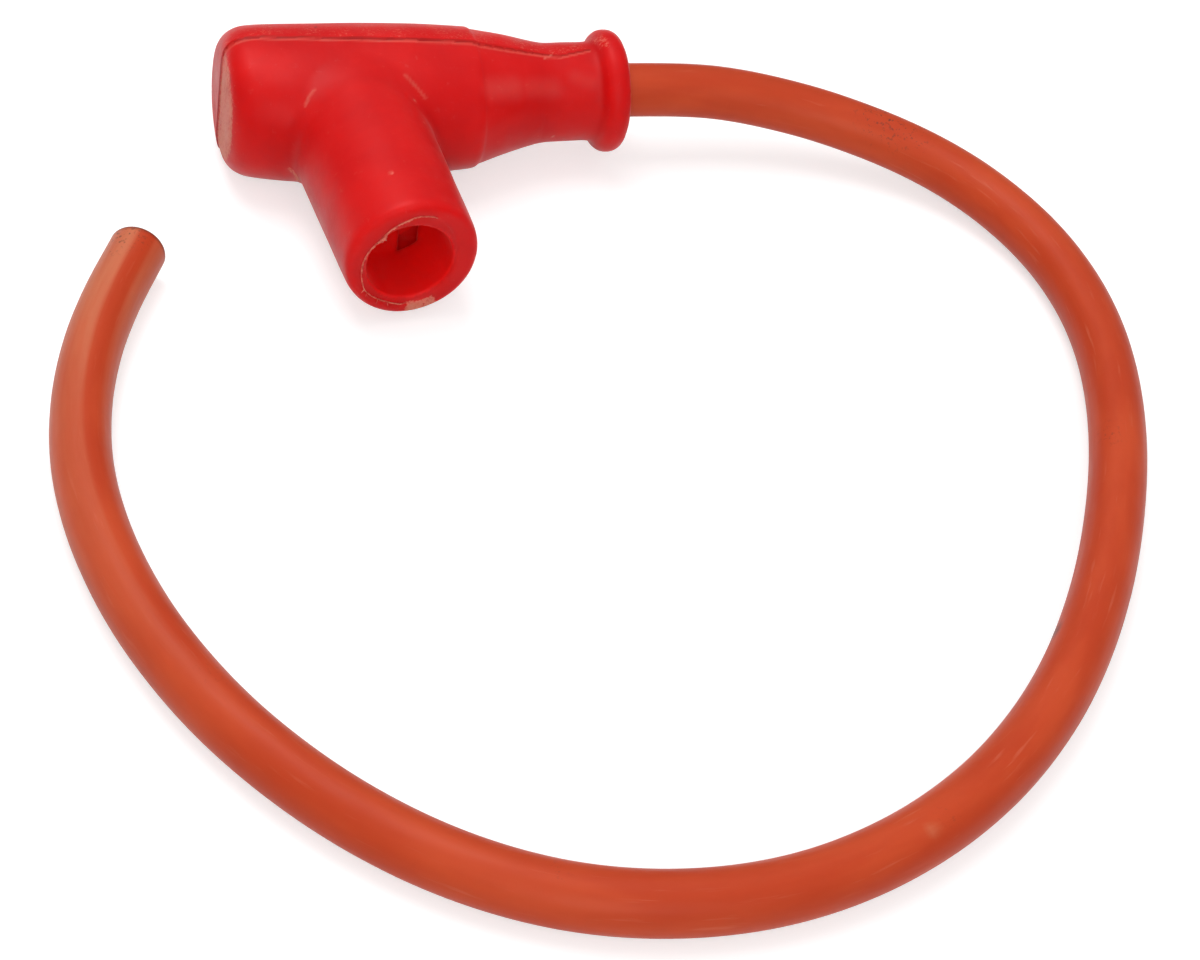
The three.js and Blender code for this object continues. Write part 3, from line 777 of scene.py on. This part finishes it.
def torn_edge():
    """Thin ragged sliver left standing round the mouth's lead-in, with one wider torn flap."""
    angle = np.arange(68.0, 268.1, 1.0)
    wobble = (np.sin(angle * 0.71) + np.sin(angle * 0.37 + 2) + np.sin(angle * 1.63 + 1)) / 3
    flap = np.clip(1 - np.abs(angle - 138) / 9, 0, 1) * (0.8 + 0.35 * np.sin(angle * 1.3))
    fade = smooth_step(angle, 68.0, 104.0) * (1 - smooth_step(angle, 262.0, 268.0))
    base = lead_in_radius(angle)
    rise = (0.13 + 0.09 * wobble) * fade + 0.16 * flap
    lean = (0.05 + 0.06 * wobble) * fade + 0.75 * flap
    rings = np.stack([
        np.stack([base + 0.02 + 0.05 * fade, MOUTH - 0.14 + 0 * base], 1),
        np.stack([base - 0.06, MOUTH - 0.25 + 0 * base], 1),
        np.stack([base - 0.07 - lean, MOUTH - 0.03 + rise - 0.30 * flap], 1),
        np.stack([base - 0.02 - lean * 0.9, MOUTH + 0.01 + rise - 0.26 * flap], 1),
    ], axis=1)
    turn = np.radians(angle)[:, None]
    r, h = rings[..., 0], rings[..., 1]
    points = np.stack([r * np.cos(turn), -h, r * np.sin(turn)], axis=-1).reshape(-1, 3) + CROSS
    faces = rings_to_faces(len(angle), 4).tolist()
    last = len(points) - 4
    faces += [[3, 2, 1, 0], [last, last + 1, last + 2, last + 3]]
    hairs = ((213, 0.75, 0.15), (219, 0.5, 0.3), (235, 0.7, 0.1), (247, 0.4, 0.3), (146, 0.45, 0.2))
    for degrees, out, up in hairs:
        a, r0 = math.radians(degrees), lead_in_radius(degrees)
        radial = np.array([math.cos(a), 0.0, math.sin(a)])
        round_way = np.array([-math.sin(a), 0.0, math.cos(a)])
        root = CROSS + radial * r0 + [0.0, -MOUTH, 0.0]
        start = len(points)
        points = np.vstack([
            points, root - 0.11 * round_way, root + 0.11 * round_way, root + [0.0, -0.2, 0.0],
            root + out * radial + 0.25 * round_way + [0.0, -up, 0.0],
        ])
        faces += [[start + i for i in f] for f in ((0, 1, 2), (0, 3, 1), (1, 3, 2), (2, 3, 0))]
    return points, faces


torn_points, torn_faces = torn_edge()
mesh_object("mouth_torn_edge", torn_points, torn_faces, TORN)


# Inside the cap: the solids' own pieces with their finishes
for node, material in (
    ("plug_contact", BRASS), ("contact_clip", SPRING), ("contact_spring", SPRING),
    ("resistor_rod", CERAMIC), ("resistor_cap_inner", PLATED), ("resistor_cap_outer", PLATED),
    ("cable_screw", BRASS),
):
    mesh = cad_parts[node].data
    mesh.materials.clear()
    mesh.materials.append(material)


# Floor, background and light

def floor_material():
    """Near-white paper: lit like any surface, and lifted to white where the camera sees it."""
    n = Nodes("floor_paper")
    at = n.object_vector()
    tone = n.mix(n.noise(at, 400.0), (0.62, 0.62, 0.62, 1), (0.64, 0.64, 0.64, 1))
    glow = n.node("ShaderNodeEmission", {"Color": (1, 1, 1, 1), "Strength": 0.60}).outputs[0]
    none = n.node("ShaderNodeEmission", {"Strength": 0.0}).outputs[0]
    path = n.node("ShaderNodeLightPath").outputs
    seen = n.math("MAXIMUM", path["Is Glossy Ray"], path["Is Transmission Ray"])
    seen = n.math("MAXIMUM", path["Is Camera Ray"], seen)
    diffuse = n.node("ShaderNodeBsdfDiffuse", {"Color": tone}).outputs[0]
    lift = n.node("ShaderNodeMixShader", {0: seen, 1: none, 2: glow}).outputs[0]
    both = n.node("ShaderNodeAddShader", {0: diffuse, 1: lift}).outputs[0]
    n.tree.links.new(both, n.out.inputs["Surface"])
    return n.material


half = 3.0
floor_mesh = bpy.data.meshes.new("floor")
floor_mesh.from_pydata(
    [(-half, -half, 0), (half, -half, 0), (half, half, 0), (-half, half, 0)], [], [(0, 1, 2, 3)],
)
floor_mesh.materials.append(floor_material())
floor = bpy.data.objects.new("floor", floor_mesh)
bpy.context.scene.collection.objects.link(floor)


def studio_world():
    """Soft light, stronger from above, and plain white where the camera sees it."""
    world = bpy.data.worlds.new("studio")
    world.use_nodes = True
    tree = world.node_tree
    tree.nodes.clear()

    path = add_node(tree, "ShaderNodeLightPath").outputs
    seen = add_node(tree, "ShaderNodeMath", {
        0: path["Is Camera Ray"], 1: path["Is Transmission Ray"],
    }, operation="MAXIMUM")
    direction = add_node(tree, "ShaderNodeTexCoord").outputs["Generated"]
    split = add_node(tree, "ShaderNodeSeparateXYZ", {0: direction})
    strength = add_node(tree, "ShaderNodeMapRange", {
        "Value": split.outputs["Z"], "From Min": 0.0, "From Max": 1.0, "To Min": 0.10, "To Max": 0.60,
    })
    room = add_node(tree, "ShaderNodeBackground", {
        "Color": (1, 1, 1, 1), "Strength": strength.outputs["Result"],
    })
    white = add_node(tree, "ShaderNodeBackground", {"Color": (1, 1, 1, 1), "Strength": 1.0})
    choose = add_node(tree, "ShaderNodeMixShader", {
        0: seen.outputs[0], 1: room.outputs[0], 2: white.outputs[0],
    })
    add_node(tree, "ShaderNodeOutputWorld", {"Surface": choose.outputs[0]})
    return world


bpy.context.scene.world = studio_world()


def area_light(name, place, target, size, power, spread=180.0, glossy=True):
    """A soft lamp at a place, in metres and watts. One that isn't glossy gives no highlights."""
    data = bpy.data.lights.new(name, "AREA")
    data.shape = "RECTANGLE"
    data.size, data.size_y = size
    data.energy = power
    data.spread = math.radians(spread)
    lamp = bpy.data.objects.new(name, data)
    lamp.location = place
    lamp.visible_glossy = glossy
    direction = np.array(target, float) - np.array(place, float)
    back = -direction / np.linalg.norm(direction)
    side = np.cross([0.0, 0.3, 1.0], back)
    side /= np.linalg.norm(side)
    up = np.cross(back, side)
    lamp.rotation_mode = "QUATERNION"
    lamp.rotation_quaternion = Matrix(np.column_stack([side, up, back]).tolist()).to_quaternion()
    bpy.context.scene.collection.objects.link(lamp)


area_light("overhead", (-0.15, 0.25, 1.0), LOOP_MIDDLE, (0.8, 0.5), 4.8)
area_light("front_fill", (-0.28, -0.85, 0.70), LOOP_MIDDLE, (1.3, 0.9), 1.8, glossy=False)
area_light("cap_fill", (-0.16, -0.76, 0.42), (0.0, 0.005, 0.01), (0.45, 0.3), 0.12, spread=36.0)

bpy.context.scene.view_settings.view_transform = "Standard"
